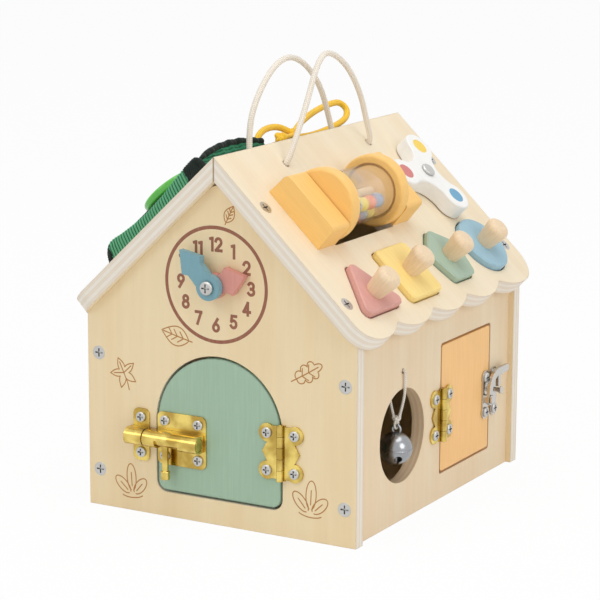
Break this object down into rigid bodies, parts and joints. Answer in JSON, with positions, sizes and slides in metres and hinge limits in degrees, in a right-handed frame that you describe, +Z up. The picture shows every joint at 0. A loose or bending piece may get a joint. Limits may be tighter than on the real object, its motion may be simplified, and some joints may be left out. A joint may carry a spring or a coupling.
{
  "type": "activity house",
  "caption": "Wooden toy house with a bolted door, latched side door, clock, hanging bell, bead drum, spinner, knobbed shape pieces, rope handles and a cloth panel.",
  "frame": {"origin": "middle of the house on the surface it stands on", "axes": "+Z up, the gable with the clock and front door faces -Y, the wall with the bell faces +X"},
  "size_m": [0.2014, 0.2324, 0.265],
  "materials": {
    "birch_ply": "satin, clear-sealed plywood",
    "natural_wood": "satin, turned beech",
    "door_green": "satin stain",
    "wood_orange": "satin stain",
    "wood_pink": "satin stain",
    "wood_yellow": "satin stain",
    "wood_green": "satin stain",
    "wood_blue": "satin stain",
    "hand_pink": "satin paint",
    "hand_blue": "satin paint",
    "steel": "bright zinc plate",
    "brass_plate": "bright brass plate",
    "bell_steel": "polished plate",
    "wood_white": "satin paint",
    "door_orange": "satin stain",
    "clear_tube": "clear acrylic",
    "beads": "glossy, mixed colours",
    "rope": "braided cotton",
    "thin_cord": "twisted cotton",
    "corduroy": "ribbed cloth",
    "corduroy_trim": "ribbed cloth with dark stitched edge",
    "button_green": "glossy",
    "lace_yellow": "woven shoelace"
  },
  "bodies": {
    "house": {"front_wall": "birch_ply", "back_wall": "birch_ply", "left_wall": "birch_ply", "right_wall": "birch_ply", "floor_board": "birch_ply", "roof_left": "birch_ply", "roof_right": "birch_ply", "panel_screws": "steel", "hardware_screws": "steel", "front_hinge_wall_leaf": "brass_plate", "front_hinge_pin": "brass_plate", "bolt_keeper": "brass_plate", "clock_pivot": "steel", "side_hinge_wall_leaf": "brass_plate", "side_hinge_pin": "brass_plate", "latch_catch": "steel", "drum_bracket_front": "wood_orange", "drum_bracket_rear": "wood_orange", "drum_axle": "natural_wood", "spinner_post": "steel", "spinner_washer": "natural_wood", "rope_handle_right": "rope", "rope_handle_left": "rope", "rope_knots": "rope", "fabric_panel": "corduroy", "fabric_frill": "corduroy_trim", "fabric_flap": "corduroy", "fabric_button": "button_green", "lace_loop_front": "lace_yellow", "lace_loop_rear": "lace_yellow", "lace_knot": "lace_yellow"},
    "front_door": {"front_door": "door_green", "front_hinge_door_leaf": "brass_plate", "front_door_screws": "steel", "bolt_plate": "brass_plate"},
    "bolt": {"bolt_rod": "brass_plate"},
    "hour_hand": {"clock_hour_hand": "hand_pink"},
    "minute_hand": {"clock_minute_hand": "hand_blue"},
    "side_door": {"side_door": "door_orange", "side_hinge_door_leaf": "brass_plate", "side_door_screws": "steel", "latch_base": "steel"},
    "latch_hook": {"latch_hook": "steel"},
    "bell": {"bell_shell": "bell_steel", "bell_pellet": "steel", "bell_cord": "thin_cord", "bell_knot": "thin_cord"},
    "drum": {"drum_cap_front": "wood_orange", "drum_cap_rear": "wood_orange", "drum_tube": "clear_tube", "drum_beads": "beads"},
    "spinner": {"spinner_body": "wood_white"},
    "triangle": {"triangle_piece": "wood_pink", "triangle_knob": "natural_wood"},
    "square": {"square_piece": "wood_yellow", "square_knob": "natural_wood"},
    "pentagon": {"pentagon_piece": "wood_green", "pentagon_knob": "natural_wood"},
    "circle": {"circle_piece": "wood_blue", "circle_knob": "natural_wood"}
  },
  "joints": [
    {"name": "front_door_swing", "type": "hinge", "parent": "house", "child": "front_door", "pos_m": [0.04175, -0.10965, 0.0495], "axis": [0, 0, 1], "range_deg": [0, 150]},
    {"name": "bolt_slide", "type": "slide", "parent": "front_door", "child": "bolt", "axis": [1, 0, 0], "range_m": [-0.0028, 0.0088]},
    {"name": "hour_hand_turn", "type": "hinge", "parent": "house", "child": "hour_hand", "pos_m": [-0.0012, -0.1075, 0.14203], "axis": [0, 1, 0], "continuous": true},
    {"name": "minute_hand_turn", "type": "hinge", "parent": "house", "child": "minute_hand", "pos_m": [-0.0012, -0.1075, 0.14203], "axis": [0, 1, 0], "continuous": true},
    {"name": "side_door_swing", "type": "hinge", "parent": "house", "child": "side_door", "pos_m": [0.08865, 0.00475, 0.0526], "axis": [0, 0, -1], "range_deg": [0, 150]},
    {"name": "latch_hook_lift", "type": "hinge", "parent": "side_door", "child": "latch_hook", "pos_m": [0.0905, 0.0655, 0.049], "axis": [1, 0, 0], "range_deg": [-5, 95]},
    {"name": "bell_swing", "type": "hinge", "parent": "house", "child": "bell", "pos_m": [0.0825, -0.04519, 0.0895], "axis": [1, 0, 0], "range_deg": [-15, 15]},
    {"name": "drum_turn", "type": "hinge", "parent": "house", "child": "drum", "pos_m": [0.04415, -0.0335, 0.18582], "axis": [0, 1, 0], "continuous": true},
    {"name": "spinner_turn", "type": "hinge", "parent": "house", "child": "spinner", "pos_m": [0.03765, 0.0655, 0.18027], "axis": [0.6884, 0, 0.7254], "continuous": true},
    {"name": "triangle_lift", "type": "slide", "parent": "house", "child": "triangle", "axis": [0.6884, 0, 0.7254], "range_m": [0, 0.03]},
    {"name": "square_lift", "type": "slide", "parent": "house", "child": "square", "axis": [0.6884, 0, 0.7254], "range_m": [0, 0.03]},
    {"name": "pentagon_lift", "type": "slide", "parent": "house", "child": "pentagon", "axis": [0.6884, 0, 0.7254], "range_m": [0, 0.03]},
    {"name": "circle_lift", "type": "slide", "parent": "house", "child": "circle", "axis": [0.6884, 0, 0.7254], "range_m": [0, 0.03]}
  ]
}
